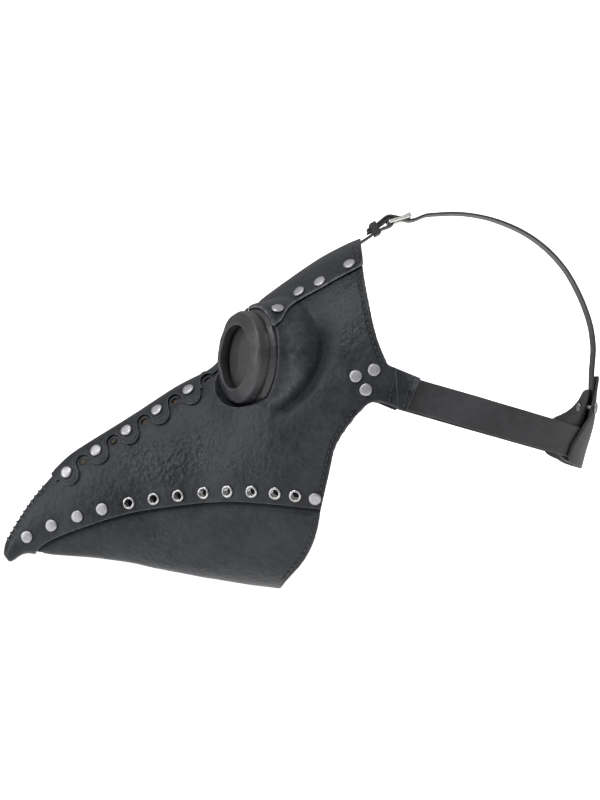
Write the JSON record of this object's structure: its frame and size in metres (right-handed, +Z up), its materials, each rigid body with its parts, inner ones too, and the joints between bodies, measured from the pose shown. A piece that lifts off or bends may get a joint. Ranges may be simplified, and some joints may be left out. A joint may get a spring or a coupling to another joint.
{
  "type": "plague doctor mask",
  "caption": "Long-beaked black leather plague doctor mask with goggle eyes, riveted seams, an eyeleted jaw and a buckled head harness.",
  "frame": {"origin": "midway between the two ear tabs, on the axis where the side strap turns", "axes": "+X towards the wearer's left, -Y along the beak away from the face, +Z up"},
  "size_m": [0.1658, 0.4281, 0.2715],
  "materials": {
    "mask_leather": "black waxed leather, soft sheen, fine grain, lightly rubbed edges",
    "strap_leather": "near-black smooth strap leather, satin",
    "lining": "pale undyed suede lining",
    "ring_plastic": "black moulded ring, soft satin",
    "lens": "smoked lens",
    "rivet_metal": "flat satin silver-grey rivet caps",
    "eyelet_metal": "bright rolled eyelets",
    "buckle_metal": "pale nickel wire"
  },
  "bodies": {
    "shell": {"side_panel_left": "mask_leather", "side_panel_right": "mask_leather", "lining_left": "lining", "lining_right": "lining", "strap_tab_inner_left": "mask_leather", "strap_tab_inner_right": "mask_leather", "strap_tab_outer_left": "mask_leather", "strap_tab_outer_right": "mask_leather", "eye_ring_left": "ring_plastic", "eye_ring_right": "ring_plastic", "eye_backing_ring_left": "ring_plastic", "eye_backing_ring_right": "ring_plastic", "lens_left": "lens", "lens_right": "lens", "lens_retainer_left": "ring_plastic", "lens_retainer_right": "ring_plastic", "ridge_rivets_left": "rivet_metal", "ridge_rivets_right": "rivet_metal", "forehead_rivets_left": "rivet_metal", "forehead_rivets_right": "rivet_metal", "jaw_rivets_left": "rivet_metal", "jaw_rivets_right": "rivet_metal", "jaw_eyelets_left": "eyelet_metal", "jaw_eyelets_right": "eyelet_metal", "ear_rivets_left": "rivet_metal", "ear_rivets_right": "rivet_metal", "jaw_panel": "mask_leather", "ridge_strip": "mask_leather", "forehead_panel": "mask_leather", "forehead_strap": "strap_leather"},
    "harness": {"side_strap": "strap_leather", "back_patch_outer": "mask_leather", "back_patch_inner": "mask_leather", "back_rivets": "rivet_metal", "top_strap": "strap_leather"},
    "buckle_frame": {"buckle_frame": "buckle_metal"},
    "buckle_prong": {"buckle_prong": "buckle_metal"},
    "keeper": {"keeper_loop": "strap_leather"}
  },
  "joints": [
    {"name": "harness_swing", "type": "hinge", "parent": "shell", "child": "harness", "pos_m": [0, 0, 0], "axis": [1, 0, 0], "range_deg": [-10, 12], "stiffness_Nm_per_rad": 1.5, "deforming": ["top_strap"]},
    {"name": "buckle_frame_tilt", "type": "hinge", "parent": "shell", "child": "buckle_frame", "pos_m": [0, -0.0076, 0.1226], "axis": [1, 0, 0], "range_deg": [0, 20]},
    {"name": "buckle_prong_lift", "type": "hinge", "parent": "buckle_frame", "child": "buckle_prong", "pos_m": [0, -0.0076, 0.1226], "axis": [1, 0, 0], "range_deg": [0, 110]},
    {"name": "keeper_slide", "type": "slide", "parent": "shell", "child": "keeper", "axis": [0, 0.8746, 0.4848], "range_m": [-0.002, 0.0025]}
  ]
}
